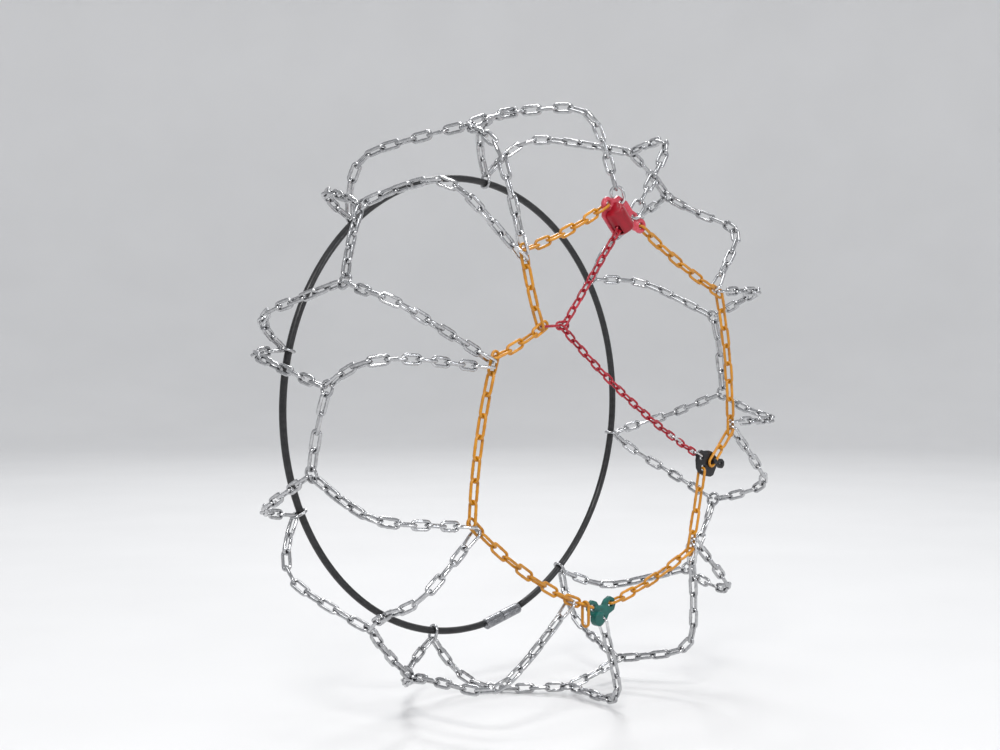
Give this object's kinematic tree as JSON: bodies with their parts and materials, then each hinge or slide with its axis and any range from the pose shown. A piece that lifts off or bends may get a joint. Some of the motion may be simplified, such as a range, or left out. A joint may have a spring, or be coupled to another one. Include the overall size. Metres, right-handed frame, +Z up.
{
  "type": "tyre snow chain",
  "caption": "Diamond-pattern tyre snow chain in its fitted shape: link net, coloured side chain with tensioner and hooks, inner cable hoop.",
  "frame": {"origin": "centre of the tyre that the set is closed on: on the wheel axis, midway across the tread", "axes": "Y is the wheel axis with the outer face towards -Y, +Z is up and +X is the right of the outer face seen from outside"},
  "size_m": [0.623, 0.2361, 0.6223],
  "materials": {
    "galvanised_steel": "bright galvanised, slightly worn",
    "orange_enamel": "gloss enamel, rubbed at the link ends",
    "red_enamel": "gloss enamel",
    "red_plastic": "glossy moulded",
    "green_plastic": "satin moulded",
    "black_plastic": "satin moulded",
    "cable_sheath": "smooth sheath"
  },
  "bodies": {
    "chain_set": {"cable_clasp_plug": "galvanised_steel", "cable_clasp_socket": "galvanised_steel", "cable_hoop": "cable_sheath", "centre_d1b_d2a": "galvanised_steel", "centre_d2b_d3a": "galvanised_steel", "centre_d3b_d4a": "galvanised_steel", "centre_d4b_d5a": "galvanised_steel", "centre_d5b_d6a": "galvanised_steel", "centre_d6b_d7a": "galvanised_steel", "centre_d7b_d8a": "galvanised_steel", "centre_d8b_d1a": "galvanised_steel", "rear_d1": "galvanised_steel", "rear_d2": "galvanised_steel", "rear_d3": "galvanised_steel", "rear_d4": "galvanised_steel", "rear_d5": "galvanised_steel", "rear_d6": "galvanised_steel", "rear_d7": "galvanised_steel", "rear_d8": "galvanised_steel", "side_run_01": "orange_enamel", "side_run_02": "orange_enamel", "side_run_03": "orange_enamel", "side_run_04": "orange_enamel", "side_run_05": "orange_enamel", "side_run_06": "orange_enamel", "side_run_07": "orange_enamel", "side_run_08": "orange_enamel", "side_run_09": "orange_enamel", "side_run_10": "orange_enamel", "side_run_11": "orange_enamel", "tension_tie": "red_enamel", "tension_upper": "red_enamel"},
    "tensioner": {"tensioner_plate": "red_plastic", "tensioner_cover": "red_plastic"},
    "black_hook": {"black_hook": "black_plastic"},
    "green_hook": {"green_hook": "green_plastic"},
    "spare_link": {"spare_link": "orange_enamel"},
    "tension_leg": {"tension_lower": "red_enamel", "tension_connector": "galvanised_steel", "tension_end": "red_enamel", "hook_tab": "galvanised_steel"},
    "strand_d1a": {"front_d1a": "galvanised_steel"},
    "strand_d1b": {"front_d1b": "galvanised_steel"},
    "strand_d2a": {"front_d2a": "galvanised_steel"},
    "strand_d2b": {"front_d2b": "galvanised_steel"},
    "strand_d3a": {"front_d3a": "galvanised_steel"},
    "strand_d3b": {"front_d3b": "galvanised_steel"},
    "strand_d4a": {"front_d4a": "galvanised_steel"},
    "strand_d4b": {"front_d4b": "galvanised_steel"},
    "strand_d5a": {"front_d5a": "galvanised_steel"},
    "strand_d5b": {"front_d5b": "galvanised_steel"},
    "strand_d6a": {"front_d6a": "galvanised_steel"},
    "strand_d6b": {"front_d6b": "galvanised_steel"},
    "strand_d7a": {"front_d7a": "galvanised_steel"},
    "strand_d7b": {"front_d7b": "galvanised_steel"},
    "strand_d8a": {"front_d8a": "galvanised_steel"},
    "strand_d8b": {"front_d8b": "galvanised_steel"}
  },
  "joints": [
    {"name": "tensioner_tilt", "type": "hinge", "parent": "chain_set", "child": "tensioner", "pos_m": [0.0235, -0.11, 0.198], "axis": [0.9336, 0, -0.3584], "range_deg": [-3, 3]},
    {"name": "black_hook_tilt", "type": "hinge", "parent": "chain_set", "child": "black_hook", "pos_m": [0.17065, -0.11, -0.05916], "axis": [-0.8717, 0.2457, -0.4241], "range_deg": [-3, 3]},
    {"name": "green_hook_tilt", "type": "hinge", "parent": "chain_set", "child": "green_hook", "pos_m": [-0.0236, -0.11, -0.1954], "axis": [0.9986, 0, 0.053], "range_deg": [-5, 5]},
    {"name": "spare_link_swing", "type": "hinge", "parent": "chain_set", "child": "spare_link", "pos_m": [-0.038, -0.1146, -0.19037], "axis": [-0.9442, 0, 0.3295], "range_deg": [-12, 12]},
    {"name": "tension_leg_swing", "type": "hinge", "parent": "chain_set", "child": "tension_leg", "pos_m": [-0.06923, -0.11, 0.08663], "axis": [0.8467, 0.0144, -0.5319], "range_deg": [-5, 5]},
    {"name": "strand_d1a_sway", "type": "hinge", "parent": "chain_set", "child": "strand_d1a", "pos_m": [0.01768, -0.11, 0.20934], "axis": [-0.4446, 0.5795, 0.683], "range_deg": [-2, 2]},
    {"name": "strand_d1b_sway", "type": "hinge", "parent": "chain_set", "child": "strand_d1b", "pos_m": [0.03671, -0.11, 0.19614], "axis": [0.6384, 0.5624, 0.5255], "range_deg": [-2, 2]},
    {"name": "strand_d2a_sway", "type": "hinge", "parent": "chain_set", "child": "strand_d2a", "pos_m": [0.17128, -0.11, 0.12512], "axis": [0.2249, 0.6298, 0.7435], "range_deg": [-2, 2]},
    {"name": "strand_d2b_sway", "type": "hinge", "parent": "chain_set", "child": "strand_d2b", "pos_m": [0.1757, -0.11, 0.12334], "axis": [0.7706, 0.6145, -0.1688], "range_deg": [-2, 2]},
    {"name": "strand_d3a_sway", "type": "hinge", "parent": "chain_set", "child": "strand_d3a", "pos_m": [0.20095, -0.11, -0.01797], "axis": [0.7498, 0.6393, 0.1707], "range_deg": [-2, 2]},
    {"name": "strand_d3b_sway", "type": "hinge", "parent": "chain_set", "child": "strand_d3b", "pos_m": [0.20097, -0.11, -0.02284], "axis": [0.5543, 0.5666, -0.6097], "range_deg": [-2, 2]},
    {"name": "strand_d4a_sway", "type": "hinge", "parent": "chain_set", "child": "strand_d4a", "pos_m": [0.1362, -0.10932, -0.1399], "axis": [0.7103, 0.6035, -0.3624], "range_deg": [-2, 2]},
    {"name": "strand_d4b_sway", "type": "hinge", "parent": "chain_set", "child": "strand_d4b", "pos_m": [0.1344, -0.10956, -0.14549], "axis": [-0.0543, 0.5603, -0.8265], "range_deg": [-2, 2]},
    {"name": "strand_d5a_sway", "type": "hinge", "parent": "chain_set", "child": "strand_d5a", "pos_m": [-0.0094, -0.11, -0.2066], "axis": [0.4109, 0.6639, -0.6248], "range_deg": [-2, 2]},
    {"name": "strand_d5b_sway", "type": "hinge", "parent": "chain_set", "child": "strand_d5b", "pos_m": [-0.05278, -0.11, -0.18522], "axis": [-0.5787, 0.6795, -0.4509], "range_deg": [-2, 2]},
    {"name": "strand_d6a_sway", "type": "hinge", "parent": "chain_set", "child": "strand_d6a", "pos_m": [-0.18199, -0.11, -0.10465], "axis": [-0.321, 0.6676, -0.6718], "range_deg": [-2, 2]},
    {"name": "strand_d6b_sway", "type": "hinge", "parent": "chain_set", "child": "strand_d6b", "pos_m": [-0.18582, -0.11, -0.1013], "axis": [-0.7393, 0.5965, 0.3123], "range_deg": [-2, 2]},
    {"name": "strand_d7a_sway", "type": "hinge", "parent": "chain_set", "child": "strand_d7a", "pos_m": [-0.16259, -0.11, 0.04709], "axis": [-0.9003, 0.424, -0.0987], "range_deg": [-2, 2]},
    {"name": "strand_d7b_sway", "type": "hinge", "parent": "chain_set", "child": "strand_d7b", "pos_m": [-0.16099, -0.11, 0.05192], "axis": [-0.7529, 0.4603, 0.4705], "range_deg": [-2, 2]},
    {"name": "strand_d8a_sway", "type": "hinge", "parent": "chain_set", "child": "strand_d8a", "pos_m": [-0.11869, -0.11, 0.14842], "axis": [-0.6866, 0.6463, 0.3331], "range_deg": [-2, 2]},
    {"name": "strand_d8b_sway", "type": "hinge", "parent": "chain_set", "child": "strand_d8b", "pos_m": [-0.1197, -0.11, 0.15288], "axis": [0.0036, 0.5207, 0.8537], "range_deg": [-2, 2]}
  ]
}
